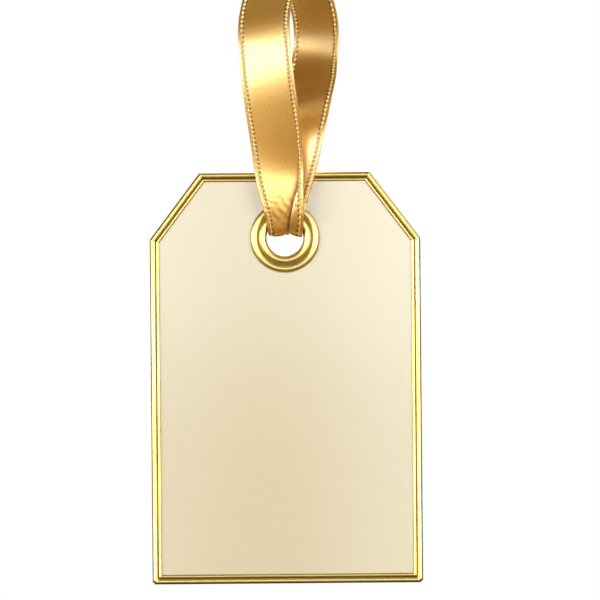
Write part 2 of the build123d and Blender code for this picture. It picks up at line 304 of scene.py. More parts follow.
# %% Stations
# across, depth and height from the eyelet in mm, face angle in degrees, fold overlap, step, line and
# droop in mm
ribbon_stations = np.array([
    (0.00, 3.30, 3.00, 0, 2.10, 0.05, 0.90, 0.30),
    (0.00, 1.90, 1.60, 0, 2.05, 0.05, 0.85, 0.55),
    (0.00, 0.80, 1.22, 0, 2.00, 0.05, 0.80, 0.70),
    (0.02, -0.50, 1.08, 0, 1.95, 0.10, 0.75, 0.75),
    (0.05, -1.20, 1.20, 0, 1.85, 0.32, 0.70, 0.65),
    (0.05, -2.02, 1.90, 0, 1.70, 0.72, 0.75, 0.30),
    (0.00, -2.70, 3.30, 0, 1.50, 1.02, 0.98, 0.05),
    (-0.17, -3.22, 5.10, 0, 1.28, 1.10, 1.52, 0.00),
    (-0.40, -3.52, 7.00, 1, 1.08, 1.04, 2.22, 0.00),
    (-0.62, -3.64, 8.80, 2, 0.88, 0.88, 3.00, 0.00),
    (-0.82, -3.66, 10.70, 3, 0.62, 0.62, 3.55, 0.00),
    (-1.12, -4.28, 14.40, 6, 0.34, 0.18, 3.90, 0.00),
    (-1.50, -5.32, 18.10, 9, 0.18, 0.00, 4.00, 0.00),
    (-1.96, -6.40, 21.90, 11, 0.06, 0.00, 4.00, 0.00),
    (-2.47, -7.32, 25.60, 13, 0.00, 0.00, 4.00, 0.00),
    (-2.93, -7.90, 29.30, 15, 0.00, 0.00, 4.00, 0.00),
    (-3.24, -8.08, 33.00, 17, 0.00, 0.00, 4.00, 0.00),
    (-3.50, -7.85, 36.70, 18, 0.00, 0.00, 4.00, 0.00),
    (-3.36, -7.00, 40.45, 20, 0.00, 0.00, 4.00, 0.00),
    (-2.65, -5.35, 44.20, 22, 0.00, 0.00, 4.00, 0.00),
    (-1.45, -2.60, 48.05, 27, 0.00, 0.00, 4.00, 0.00),
    (0.00, 0.00, 49.62, 31, 0.00, 0.00, 4.00, 0.00),
    (1.90, 1.95, 48.32, 33, 0.00, 0.00, 4.00, 0.00),
    (4.50, 3.05, 45.44, 34, 0.00, 0.00, 4.00, 0.00),
    (5.85, 4.45, 41.25, 34, 0.00, 0.00, 4.00, 0.00),
    (6.12, 5.75, 36.13, 34, 0.00, 0.00, 4.00, 0.00),
    (5.52, 4.95, 31.48, 30, 0.00, 0.00, 4.00, 0.00),
    (4.62, 1.00, 27.06, 26, 0.00, 0.00, 4.00, 0.00),
    (3.62, -1.60, 23.11, 21, 0.00, 0.00, 3.00, 0.00),
    (2.78, -2.85, 19.85, 16, 0.05, 0.00, 2.00, 0.00),
    (1.75, -3.25, 15.20, 10, 0.20, 0.00, 1.00, 0.00),
    (0.80, -2.80, 10.54, 5, 0.55, -0.10, 0.20, 0.00),
    (0.30, -2.44, 6.36, 0, 1.20, -0.28, -0.60, 0.00),
    (0.05, -2.12, 3.60, 0, 1.80, -0.24, -0.90, 0.00),
    (0.00, -1.55, 2.60, 0, 2.10, -0.20, -1.00, 0.00),
    (0.00, -0.85, 2.15, 0, 2.20, -0.25, -1.00, 0.00),
    (0.00, 0.30, 1.95, 0, 2.25, -0.35, -1.00, 0.00),
    (0.00, 1.90, 2.20, 0, 2.25, -0.50, -1.00, 0.00),
    (0.00, 3.30, 3.50, 0, 2.25, -0.50, -1.00, 0.00),
])


def run_along(points):
    """How far along a line each of its points is: the gaps between neighbours, added up."""
    return np.r_[0, np.cumsum(np.linalg.norm(np.diff(points, axis=0), axis=1))]


station_places = run_along(ribbon_stations[:, :3])
RIBBON_LENGTH = station_places[-1]
print(f"ribbon line {RIBBON_LENGTH:.1f} mm from knot to knot")

# %% Spline


def smooth_through(places, values, at):
    """Natural cubic spline: the bends at the places solve a three-band system that keeps the slope
    unbroken, and between two places the value is the cubic with those bends."""
    gaps = np.diff(places)[:, None]
    rises = np.diff(values, axis=0) / gaps
    inner = np.arange(1, len(places) - 1)
    system = np.eye(len(places))
    system[inner, inner - 1] = gaps[:-1, 0]
    system[inner, inner] = 2 * (gaps[:-1, 0] + gaps[1:, 0])
    system[inner, inner + 1] = gaps[1:, 0]
    pull = np.zeros_like(values)
    pull[1:-1] = 6 * np.diff(rises, axis=0)
    bends = np.linalg.solve(system, pull)
    k = np.clip(np.searchsorted(places, at) - 1, 0, len(places) - 2)
    t = (at - places[k])[:, None]
    g = gaps[k]
    slope = rises[k] - g * (2 * bends[k] + bends[k + 1]) / 6
    return values[k] + t * slope + t**2 * bends[k] / 2 + t**3 * (bends[k + 1] - bends[k]) / (6 * g)


crown = smooth_through(station_places, ribbon_stations, np.linspace(0, RIBBON_LENGTH, 400))[:, 2].max()
print(f"crown of the loop {crown:.1f} mm over the eyelet")

# %% [markdown]
# ## The pleat
# Where it is squeezed into the eyelet the ribbon lies in a pleat: a Z in section, so that a flap of it
# laps over the rest. The section could be drawn as a polyline, but then the cloth would stretch from
# station to station. Here it is a function of the distance across the cloth, so the cloth stays 10 mm
# wide however deep the fold is.

# %% Section across the cloth
RIBBON_WIDTH = 10.0
FOLD_ROUND = 0.16
LOBE_OUT = 0.75


def soft_ramp(t):
    """Zero for negative t and t for positive, rounded over the fold's radius: half of t plus root of t2 +
    r2."""
    return (t + np.sqrt(t**2 + FOLD_ROUND**2)) / 2


def soft_step(t):
    """Half at zero, 0 and 1 some way either side: half of 1 plus t over root of t2 + r2."""
    return (1 + t / np.sqrt(t**2 + FOLD_ROUND**2)) / 2


def pleat_section(across, overlap, step, line, droop):
    """Side and rise of the cloth at a distance across it. Past the fold line the side runs back by the
    overlap and then on; the rise takes half the step at each of the two folds; the droop makes a lobe
    either side of the line, one less the square of the distance from the lobe's middle, which is a share
    of the way out."""
    back = soft_ramp(across - line) - soft_ramp(across - line - overlap)
    side = across + overlap - 2 * back
    rise = step * (soft_step(across - line) + soft_step(across - line - overlap)) / 2
    outward = np.abs(side - line) / (RIBBON_WIDTH / 2 - overlap)
    return side, rise + droop * (1 - (1 - outward / LOBE_OUT) ** 2)


BORE_STATION, CROWN_STATION = 3, 21
edges = np.array([-RIBBON_WIDTH / 2, RIBBON_WIDTH / 2])
for label, station in (("bore", BORE_STATION), ("crown", CROWN_STATION)):
    print(f"width in the {label}: {np.ptp(pleat_section(edges, *ribbon_stations[station, 4:])[0]):.1f} mm")

# %% Creases at the foot
FOOT_RUN = 9.4
CREASE_REACH = 3.6
# a slow wave: its size in radians, and its turns across and along in radians a mm
WARP, WARP_ACROSS, WARP_ALONG = 1.2, 0.9, -1.1
# height in mm, turns across and along in radians a mm, and how much of the slow wave each takes
CREASE_WAVES = ((0.019, 3.4, 2.6, 1.0), (0.013, 6.1, -3.7, -2.0), (0.010, 1.7, 4.9, 1.0))


def bell(off, reach):
    """One in the middle and a little over a third at the reach: the exponential of minus the square."""
    return np.exp(-((off / reach) ** 2))


def foot_creases(run, across):
    """Small creases where the strip is squeezed: three slanting sine waves, each bent by a slower one, in
    a bell about the place where each strand bends into the eyelet."""
    squeeze = bell(run - FOOT_RUN, CREASE_REACH) + bell(RIBBON_LENGTH - run - FOOT_RUN, CREASE_REACH)
    warp = WARP * np.sin(WARP_ACROSS * across + WARP_ALONG * run)
    return squeeze * sum(h * np.sin(a * across + b * run + c * warp) for h, a, b, c in CREASE_WAVES)


print(f"creases of up to {sum(wave[0] for wave in CREASE_WAVES):.3f} mm")

# %% [markdown]
# ## The strip itself
# Satin ribbon is a flat woven strip, a little thicker at its selvedges. A flat band with a Solidify
# modifier would give it a thickness, but square edges. Here an outline with round selvedges is carried
# along the line, so both faces and both edges are one closed shell. Each point also keeps its place on
# the flat strip as a UV, for the weave.

# %% Points on the strip
EYELET_LEVEL = -49.5 * MM
RUN_STEP = 0.05
ACROSS_STEP = 0.02


def unit(vectors):
    """Each row divided by its length."""
    return vectors / np.linalg.norm(vectors, axis=-1, keepdims=True)


def from_eyelet(points):
    """Millimetres about the eyelet's middle to metres in the frame: a thousandth of them, let down to its
    level."""
    return points * MM + np.array([0, 0, EYELET_LEVEL])


def ribbon_point(run, across, lift):
    """Points of the strip, in metres: the line's place at a run, plus the section's side along the level
    direction of the face and its rise along the outward one, moved off by a lift square to the
    section."""
    run, across, lift = np.broadcast_arrays(run, across, lift)
    flat_run, flat_across, flat_lift = run.ravel(), across.ravel(), lift.ravel()
    row = smooth_through(station_places, ribbon_stations, flat_run)
    ahead = smooth_through(station_places, ribbon_stations[:, :3], flat_run + RUN_STEP)
    astern = smooth_through(station_places, ribbon_stations[:, :3], flat_run - RUN_STEP)
    along = unit(ahead - astern)
    turn = np.radians(row[:, 3])
    level = np.stack([np.cos(turn), -np.sin(turn), np.zeros_like(turn)], -1)
    level = unit(level - np.sum(level * along, -1, keepdims=True) * along)
    outward = np.cross(level, along)
    folds = row[:, 4:8].T
    side, rise = pleat_section(flat_across, *folds)
    side_on, rise_on = pleat_section(flat_across + ACROSS_STEP, *folds)
    tangent = unit(np.stack([side_on - side, rise_on - rise], -1))
    side = side - tangent[:, 1] * flat_lift
    rise = rise + tangent[:, 0] * flat_lift + foot_creases(flat_run, flat_across)
    place = row[:, :3] + level * side[:, None] + outward * rise[:, None]
    return from_eyelet(place.reshape(run.shape + (3,)))


print("middle of the crown:", np.round(ribbon_point(np.array(RIBBON_LENGTH / 2), 0.0, 0.0) / MM, 1), "mm")

# %% Outline of the strip
RIBBON_THICK = 0.25
SELVEDGE = 0.045
SELVEDGE_REACH = 0.22


def strip_profile(count):
    """Closed outline of a strip: along the outer face, round one selvedge, back along the inner face and
    round the other. The selvedge is a little thicker than the cloth, by a bell over its last fifth of a
    millimetre."""
    edge = RIBBON_THICK / 2 + SELVEDGE
    half_width = RIBBON_WIDTH / 2 - edge
    face = np.linspace(-half_width, half_width, count)
    thick = RIBBON_THICK / 2 + SELVEDGE * bell(half_width - np.abs(face), SELVEDGE_REACH)
    bend = np.radians([60, 30, 0, -30, -60])
    across = np.r_[face, half_width + edge * np.cos(bend), face[::-1], -half_width - edge * np.cos(bend)]
    lift = np.r_[thick, edge * np.sin(bend), -thick[::-1], -edge * np.sin(bend)]
    return across, lift


print(f"selvedge {2 * strip_profile(3)[1].max():.2f} mm thick")

# %% Faces of a tube


def tube_faces(rings, sides):
    """Quads between neighbouring rings, each side joined to the next and the last to the first, and two
    end caps."""
    ring = np.arange(rings - 1)[:, None] * sides
    here = np.arange(sides)[None, :]
    beside = (here + 1) % sides
    corners = [ring + here, ring + sides + here, ring + sides + beside, ring + beside]
    quads = np.stack(corners, -1).reshape(-1, 4)
    first = list(range(sides))
    last = list(range((rings - 1) * sides, rings * sides))[::-1]
    return quads, [first, last]


print("a tube of 3 rings with 4 sides has", len(tube_faces(3, 4)[0]), "quads and 2 caps")

# %% Mesh of a piece
CLOTH_UNIT = 10.0


def new_piece(name, points, faces, cloth=None):
    """A smooth-shaded mesh object at the origin; cloth gives each point's place on the flat strip in
    millimetres as its UV, over the cloth's unit."""
    mesh = bpy.data.meshes.new(name)
    mesh.from_pydata(points.reshape(-1, 3).tolist(), [], faces)
    work = bmesh.new()
    work.from_mesh(mesh)
    bmesh.ops.recalc_face_normals(work, faces=work.faces)
    work.to_mesh(mesh)
    work.free()
    mesh.polygons.foreach_set("use_smooth", np.ones(len(mesh.polygons), bool))
    if cloth is not None:
        corner = np.zeros(len(mesh.loops), np.int32)
        mesh.loops.foreach_get("vertex_index", corner)
        layer = mesh.uv_layers.new(name="cloth")
        layer.data.foreach_set("uv", (cloth.reshape(-1, 2)[corner] / CLOTH_UNIT).astype(np.float32).ravel())
    mesh.validate()
    mesh.update()
    piece = bpy.data.objects.new(name, mesh)
    bpy.context.scene.collection.objects.link(piece)
    print(f"{name}: {len(mesh.polygons)} faces")
    return piece


print(f"a square of the cloth's UV is {CLOTH_UNIT:.0f} mm wide")

# %% Ribbon
FOOT_END, BACK_FOOT = 26.0, 16.0
FOOT_ROWS, LOOP_ROWS, BACK_ROWS = 105, 190, 50
RIBBON_COLUMNS = 73

# the rows lie closest at the foot, where the strip is creased and folded
runs = np.r_[
    np.linspace(0, FOOT_END, FOOT_ROWS),
    np.linspace(FOOT_END, RIBBON_LENGTH - BACK_FOOT, LOOP_ROWS)[1:],
    np.linspace(RIBBON_LENGTH - BACK_FOOT, RIBBON_LENGTH, BACK_ROWS)[1:],
]
profile_across, profile_lift = strip_profile(RIBBON_COLUMNS)
strip = ribbon_point(runs[:, None], profile_across[None, :], profile_lift[None, :])
quads, caps = tube_faces(len(runs), len(profile_across))
cloth = np.stack(np.broadcast_arrays(profile_across[None, :] + RIBBON_WIDTH / 2, runs[:, None]), -1)
ribbon = new_piece("satin_ribbon", strip, quads.tolist() + caps, cloth)

# %% Painted shade under the pleat's flap
TUCK_STEP = 0.8
TUCK_SHIFT = 0.2
TUCK_REACH = 0.65


def keep_values(piece, name, values):
    """One number a point, kept on the mesh for a finish to read by name."""
    layer = piece.data.attributes.new(name, "FLOAT", "POINT")
    layer.data.foreach_set("value", values.astype(np.float32).ravel())


# painted shade, where light doesn't reach under the flap: a bell about the fold, as strong as the flap stands
# off
overlap, step, line = smooth_through(station_places, ribbon_stations, runs)[:, 4:7].T[:, :, None]
under_flap = bell(profile_across - line + overlap - TUCK_SHIFT, TUCK_REACH) * (profile_lift > 0)
tuck_shade = np.clip(step / TUCK_STEP, 0, 1) * under_flap
keep_values(ribbon, "tuck_shade", tuck_shade)
print(f"tuck shades {np.mean(tuck_shade > 0.5):.1%} of the strip's points")

# %% [markdown]
# ## Edge stitching
# A row of small stitches runs inside each selvedge, on both faces. Hundreds of separate beads would do,
# but one thread whose thickness swells and pinches at the stitch pitch is a single surface that follows
# every fold.

# %% One row of stitches
STITCH_PITCH = 0.82
STITCH_INSET = 0.70
STITCH_RADIUS = 0.32
STITCH_PINCH = 0.04
STITCH_RINGS = 6
THREAD_SIDES = 6
THREAD_RISE = 0.9
PULLED_TIGHT = 0.33


def stitch_row(surface, first, last, ease, edge, face):
    """Rings round a line at a fixed inset: radius is the pinch plus the swell times the size of a half
    cosine wave. The swell eases in from a third over a length at each end, where the cloth is pulled
    tight."""
    run = np.arange(first, last, STITCH_PITCH / STITCH_RINGS)
    eased = np.clip(np.minimum(run - first, last - run) / ease, PULLED_TIGHT, 1)
    swell = np.abs(np.cos(np.pi * run / STITCH_PITCH)) * eased
    radius = (STITCH_PINCH + (STITCH_RADIUS - STITCH_PINCH) * swell)[:, None]
    angle = np.arange(THREAD_SIDES) * (2 * np.pi / THREAD_SIDES)
    across = edge * (RIBBON_WIDTH / 2 - STITCH_INSET) + radius * np.cos(angle)[None, :]
    lift = face * (RIBBON_THICK / 2 + radius * THREAD_RISE * np.sin(angle)[None, :])
    points = surface(run[:, None], across, lift)
    faces, ends = tube_faces(len(run), THREAD_SIDES)
    if face < 0:
        faces = faces[:, ::-1]
        ends = [cap[::-1] for cap in ends]
    place = np.stack([across + RIBBON_WIDTH / 2, np.broadcast_to(run[:, None], across.shape)], -1)
    return points, faces, ends, place


print(f"a stitch every {STITCH_PITCH} mm, {2 * STITCH_RADIUS:.2f} mm thick")

# %% Four rows in one piece


def stitch_rows(name, surface, first, last, ease):
    """Four rows in one piece, inside both selvedges and on both faces: their points end to end, faces
    counted on."""
    rows = [stitch_row(surface, first, last, ease, edge, face) for edge in (-1, 1) for face in (-1, 1)]
    size = rows[0][0].reshape(-1, 3).shape[0]
    points = np.concatenate([row[0].reshape(-1, 3) for row in rows])
    faces = sum([(row[1] + i * size).tolist() for i, row in enumerate(rows)], [])
    faces += [[v + i * size for v in cap] for i, row in enumerate(rows) for cap in row[2]]
    return new_piece(name, points, faces, np.concatenate([row[3].reshape(-1, 2) for row in rows]))


STITCH_START, STITCH_STOP, STITCH_EASE = 5.0, RIBBON_LENGTH - 5.0, 8.0
stitching = stitch_rows("edge_stitching", ribbon_point, STITCH_START, STITCH_STOP, STITCH_EASE)

# %% [markdown]
# ## Gold satin
# Polyester satin: long floats of bright yarn lie side by side along the strip. To the eye that is a gold
# cloth whose shine spreads across the width and stays narrow along it, so bands of light cross the ribbon
# where it stands upright. A plain gloss would give round spots of light. An anisotropic gloss along the
# cloth's own UV gives the bands, with fine yarn streaks in the colour and the bump, and a thin coat for
# the white of the brightest light.

# %% Yarn streaks
# real yarns lie about 0.1 mm apart: these are drawn coarser, so that they show
YARN = 0.34
STREAK = 0.9
YARN_RELIEF = 0.04

satin_finish, tree = new_finish("gold_polyester_satin")
place = add(tree, "ShaderNodeUVMap", uv_map="cloth").outputs[0]
yarns = add(tree, "ShaderNodeMapping", {
    "Vector": place,
    "Scale": (CLOTH_UNIT / YARN, CLOTH_UNIT / STREAK, 1),
})
streak = add(tree, "ShaderNodeTexNoise", {"Vector": yarns.outputs[0], "Scale": 1.0, "Detail": 2.0}).outputs[0]
tone = add(tree, "ShaderNodeMapRange", {"Value": streak, "To Min": 0.78, "To Max": 1.22})
gold = add(tree, "ShaderNodeVectorMath", {
    0: paint("#cc8108")[:3],
    "Scale": tone.outputs["Result"],
}, operation="SCALE")
ridge = add(tree, "ShaderNodeBump", {"Height": streak, "Strength": 1.0, "Distance": YARN_RELIEF * MM})
print(f"yarns drawn {YARN} mm wide, streaks {STREAK} mm long")

# %% Painted shade in stitch holes and under the pleat
HOLE_INSET = 1.02
HOLE_RADIUS = 0.27
HOLE_SOFT = 0.55
HOLE_SHADE = 0.50
TUCK_SHADE = 0.36

cloth_at = add(tree, "ShaderNodeSeparateXYZ", {0: place})
# how far across from the row of holes, in hole radii: off the middle line, either way, less the row's own
# distance
off_row = cloth_at.outputs["X"]
for operation, value in (
    ("SUBTRACT", RIBBON_WIDTH / 2 / CLOTH_UNIT),
    ("ABSOLUTE", 0.0),
    ("SUBTRACT", (RIBBON_WIDTH / 2 - HOLE_INSET) / CLOTH_UNIT),
    ("MULTIPLY", CLOTH_UNIT / HOLE_RADIUS),
):
    off_row = add(tree, "ShaderNodeMath", {0: off_row, 1: value}, operation=operation).outputs[0]
# how far along from a hole, in hole radii: the cosine of the stitch's phase is zero where the thread is
# pinched
off_pinch = cloth_at.outputs["Y"]
for operation, value in (
    ("MULTIPLY", CLOTH_UNIT * math.pi / STITCH_PITCH),
    ("COSINE", 0.0),
    ("MULTIPLY", STITCH_PITCH / math.pi / HOLE_RADIUS),
):
    off_pinch = add(tree, "ShaderNodeMath", {0: off_pinch, 1: value}, operation=operation).outputs[0]
off_both = add(tree, "ShaderNodeCombineXYZ", {"X": off_row, "Y": off_pinch})
off_hole = add(tree, "ShaderNodeVectorMath", {0: off_both.outputs[0]}, operation="LENGTH")
# painted shade: a dark spot at every stitch hole, where the thread is pinched
hole_shade = add(tree, "ShaderNodeMapRange", {
    "Value": off_hole.outputs["Value"],
    "From Min": HOLE_SOFT,
    "From Max": 1.0,
    "To Min": HOLE_SHADE,
    "To Max": 1.0,
}, interpolation_type="SMOOTHSTEP")
# painted shade under the pleat's flap, read from the ribbon's points
tuck_shade_node = add(tree, "ShaderNodeAttribute", attribute_name="tuck_shade")
shaded = add(tree, "ShaderNodeMapRange", {
    "Value": tuck_shade_node.outputs["Fac"],
    "To Min": 1.0,
    "To Max": TUCK_SHADE,
})
painted_shade = add(tree, "ShaderNodeMath", {
    0: hole_shade.outputs["Result"],
    1: shaded.outputs["Result"],
}, operation="MULTIPLY").outputs[0]
print(f"holes {2 * HOLE_RADIUS:.2f} mm wide, one a stitch of {STITCH_PITCH} mm")

# %% Satin
ROUGH_CLOTH, ROUGH_DARK = 0.50, 0.98

# painted shade: in a stitch hole and under the pleat's flap, where light that falls in doesn't come back,
# the colour is darkened and takes over from the gloss
by_shade = {}
for name, in_dark, in_light in (("roughness", ROUGH_DARK, ROUGH_CLOTH), ("metallic", 1.0, 0.0)):
    level = add(tree, "ShaderNodeMapRange", {
        "Value": painted_shade,
        "From Min": TUCK_SHADE,
        "From Max": 1.0,
        "To Min": in_dark,
        "To Max": in_light,
    })
    by_shade[name] = level.outputs["Result"]
# the gold, darkened by the painted shade
shaded_gold = add(tree, "ShaderNodeVectorMath", {0: gold.outputs[0], "Scale": painted_shade}, operation="SCALE")
grain = add(tree, "ShaderNodeTangent", direction_type="UV_MAP", uv_map="cloth")
satin = add(tree, "ShaderNodeBsdfPrincipled", {
    "Base Color": shaded_gold.outputs[0],
    "Metallic": by_shade["metallic"],
    "Roughness": by_shade["roughness"],
    "IOR": 3.5,
    "Specular IOR Level": 1.0,
    "Specular Tint": paint("#ffd97a"),
    "Anisotropic": 0.82,
    "Coat Weight": 1.0,
    "Coat Roughness": 0.28,
    "Coat IOR": 1.8,
    "Tangent": grain.outputs[0],
    "Normal": ridge.outputs[0],
})
add(tree, "ShaderNodeOutputMaterial", {"Surface": satin.outputs[0]})
print("satin:", len(tree.nodes), "nodes")

# %% [markdown]
# ## Gold thread
# The stitches are polyester thread, twisted from bright filaments. To the eye each is a small pale bead
# with a soft glint, lighter than the cloth. A colour with a fine noise for the twist is enough at this
# size.

# %% Thread
# the twist of real thread is finer: it is drawn coarser, so that it shows
TWIST = 0.3

thread_finish, tree = new_finish("gold_polyester_thread")
place = add(tree, "ShaderNodeUVMap", uv_map="cloth").outputs[0]
twist = add(tree, "ShaderNodeMapping", {
    "Vector": place,
    "Scale": (CLOTH_UNIT / TWIST, CLOTH_UNIT / TWIST, 1),
})
lay = add(tree, "ShaderNodeTexNoise", {"Vector": twist.outputs[0], "Scale": 1.0, "Detail": 1.0})
tone = add(tree, "ShaderNodeMapRange", {"Value": lay.outputs[0], "To Min": 0.85, "To Max": 1.15})
pale_gold = add(tree, "ShaderNodeVectorMath", {
    0: paint("#edcb86")[:3],
    "Scale": tone.outputs["Result"],
}, operation="SCALE")
thread = add(tree, "ShaderNodeBsdfPrincipled", {
    "Base Color": pale_gold.outputs[0],
    "Roughness": 0.32,
    "IOR": 2.4,
    "Specular IOR Level": 1.0,
    "Specular Tint": paint("#ffefc4"),
})
add(tree, "ShaderNodeOutputMaterial", {"Surface": thread.outputs[0]})
print("thread:", len(tree.nodes), "nodes")

# %% [markdown]
# ## How the ribbon moves
# The loop hangs still and the knot swings with the card. The strip crosses from one to the other, so it
# rides on neither: it keeps its place in the frame, and the solids that it takes the place of are hidden.

ribbon.data.materials.append(satin_finish)
stitching.data.materials.append(thread_finish)
for piece in (ribbon, stitching):
    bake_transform(piece)
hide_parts("ribbon_loop", "ribbon_throat")

# %% [markdown]
# ## The knot
# Behind the card the two ends are tied in one half knot. Its layers could be modelled as they cross, but
# only the outside shows. The tied bundle is a spindle with creases running along it, and the end that
# passes over it is a band with creases round it.

# %% Knot bundle
KNOT_CENTRE = np.array([0.0, 3.76, 3.70])
KNOT_HALF = np.array([4.6, 2.0, 2.6])
KNOT_FRONT = 1.64
KNOT_ROWS, KNOT_SIDES = 61, 96
SPINDLE_END, SPINDLE_SWELL, SPINDLE_POWER = 0.40, 0.58, 0.8
BUNDLE_CREASES, CREASE_LEAN = 9, 1.5
CREASE_MIDDLE, CREASE_ENDS = 0.03, 0.07
SLOW_CREASE = 0.02
# which stretch of the weave each piece shows, in mm along the strip
BUNDLE_CLOTH, BAND_CLOTH, TAIL_CLOTH = 20, 30, 40


def about_knot(x, y, z):
    """Places about the knot's middle, in metres, pressed flat where they would pass into the card's
    back."""
    points = np.stack(np.broadcast_arrays(x, y, z), -1) + KNOT_CENTRE
    points[..., 1] = np.maximum(points[..., 1], KNOT_FRONT)
    return from_eyelet(points)


def knot_bundle(s, turn):
    """Spindle: half height and depth shrink with the square of the way along; creases are a wave round it
    that deepens to the ends and leans a little along the length, and a slower one across them."""
    size = SPINDLE_END + SPINDLE_SWELL * (1 - s**2) ** SPINDLE_POWER
    crease = 1 + (CREASE_MIDDLE + CREASE_ENDS * s**2) * np.cos(BUNDLE_CREASES * turn + CREASE_LEAN * s)
    crease = crease + SLOW_CREASE * np.cos(4 * turn - 2 * s)
    y = KNOT_HALF[1] * size * crease * np.cos(turn)
    z = KNOT_HALF[2] * size * crease * np.sin(turn)
    return about_knot(KNOT_HALF[0] * s, y, z)


# the rows lie closer towards the ends: sines of even angles
along_rows = np.sin(np.linspace(-np.pi / 2, np.pi / 2, KNOT_ROWS))[:, None]
turns = np.linspace(0, 2 * np.pi, KNOT_SIDES + 1)[None, :-1]
quads, caps = tube_faces(KNOT_ROWS, KNOT_SIDES)
faces = quads[:, ::-1].tolist() + [cap[::-1] for cap in caps]
cloth_round = 1 + 4 * np.abs(np.sin(turns))
cloth = np.stack(np.broadcast_arrays(cloth_round, KNOT_HALF[0] * along_rows + BUNDLE_CLOTH), -1)
bundle = new_piece("satin_knot_bundle", knot_bundle(along_rows, turns), faces, cloth)

# %% Points on the band
BAND_HALF = 1.95
BAND_SQUARE = 0.85
BAND_CREASE, BAND_CREASE_PITCH = 0.10, 1.15
CREASE_DRIFT, DRIFT_START = 0.9, 0.6
BAND_THICK, BAND_EDGE_LOSS = 0.52, 0.22
BAND_FLARE, BAND_SLANT = 0.10, 0.21


def knot_band(turn, a, lift):
    """Band round the spindle: an oval path that leans with its height, the cloth's creases a wave across
    its width whose phase drifts round the knot, and the thickness less the fourth power of the way out to
    its edge."""
    round_y = np.sign(np.cos(turn)) * np.abs(np.cos(turn)) ** BAND_SQUARE
    round_z = np.sign(np.sin(turn)) * np.abs(np.sin(turn)) ** BAND_SQUARE
    drift = CREASE_DRIFT * np.sin(turn + DRIFT_START)
    crease = BAND_CREASE * np.cos(2 * np.pi * a / BAND_CREASE_PITCH + drift) * (lift > 0)
    out = lift * (BAND_THICK - BAND_EDGE_LOSS * (a / BAND_HALF) ** 4) + crease
    y = (KNOT_HALF[1] + out) * round_y
    z = (KNOT_HALF[2] + out) * round_z
    return about_knot(a * (1 + BAND_FLARE * np.sin(turn)) + BAND_SLANT * z, y, z)


print("back of the band:", np.round(knot_band(0.0, 0.0, 1.0) / MM, 1), "mm")

# %% Knot band
BAND_HALF_INSIDE = 1.75
BAND_OUTSIDE, BAND_INSIDE = 33, 9
BAND_UNDER = -0.6
BAND_STEPS = 120
# millimetres of cloth to a millimetre across the band, and to a radian round it
CLOTH_ACROSS, CLOTH_ROUND = 1.2, 2.5


def closed_ring_faces(rings, sides):
    """Quads of a section carried round a closed path: ring to next ring and side to next side, both
    joined up."""
    ring = np.arange(rings)[:, None] * sides
    here = np.arange(sides)[None, :]
    onward, beside = np.roll(ring, -1), np.roll(here, -1)
    corners = [ring + here, ring + beside, onward + beside, onward + here]
    return np.stack(corners, -1).reshape(-1, 4)


band_a = np.r_[
    np.linspace(-BAND_HALF, BAND_HALF, BAND_OUTSIDE),
    np.linspace(BAND_HALF_INSIDE, -BAND_HALF_INSIDE, BAND_INSIDE),
][None, :]
band_lift = np.r_[np.full(BAND_OUTSIDE, 1.0), np.full(BAND_INSIDE, BAND_UNDER)][None, :]
band_turn = np.linspace(0, 2 * np.pi, BAND_STEPS + 1)[:-1, None]
faces = closed_ring_faces(BAND_STEPS, BAND_OUTSIDE + BAND_INSIDE).tolist()
on_cloth = (CLOTH_ACROSS * band_a + RIBBON_WIDTH / 2, CLOTH_ROUND * band_turn + BAND_CLOTH)
cloth = np.stack(np.broadcast_arrays(*on_cloth), -1)
wrap = new_piece("satin_knot_wrap", knot_band(band_turn, band_a, band_lift), faces, cloth)

# %% [markdown]
# ## The tails
# The loose ends come out of the knot gathered, fan out to their full width and droop against the card's
# back, where they are cut on a slant. They are the ribbon's own strip on a short line of their own, so
# they take its outline, its stitches and its satin. The line has stations too, as shares of how far the
# tail reaches and falls.

# %% Tail line
TAIL_REACH = 11.0
TAIL_FALL = 8.6
TAIL_APPROACH = 1.81
TAIL_END_STATION = 4
# way out, fall and approach to the card as shares, and the share of the full width that has opened
tail_stations = np.array([
    (-0.20, 0.00, 0.00, 0.00),
    (0.00, 0.01, 0.02, 0.05),
    (0.28, 0.10, 0.35, 0.45),
    (0.62, 0.45, 0.85, 0.90),
    (1.00, 1.00, 1.00, 1.00),
    (1.36, 1.58, 1.02, 1.00),
])
tail_line = tail_stations[:, :3] * np.array([TAIL_REACH, -TAIL_FALL, -TAIL_APPROACH])
tail_places = run_along(tail_line)
TAIL_LENGTH = tail_places[TAIL_END_STATION]
print(f"each tail {TAIL_LENGTH:.1f} mm long")

# %% Points on a tail
TAIL_CUT = math.tan(math.radians(38)) / 2
TAIL_GATHERED = 0.30
TAIL_CREASE, TAIL_CREASE_PITCH, TAIL_CREASE_START = 0.42, 3.6, 0.8
TAIL_RIPPLE, RIPPLE_ALONG, RIPPLE_ACROSS = 0.10, 2.6, 3.0
TAIL_CUP = 0.30


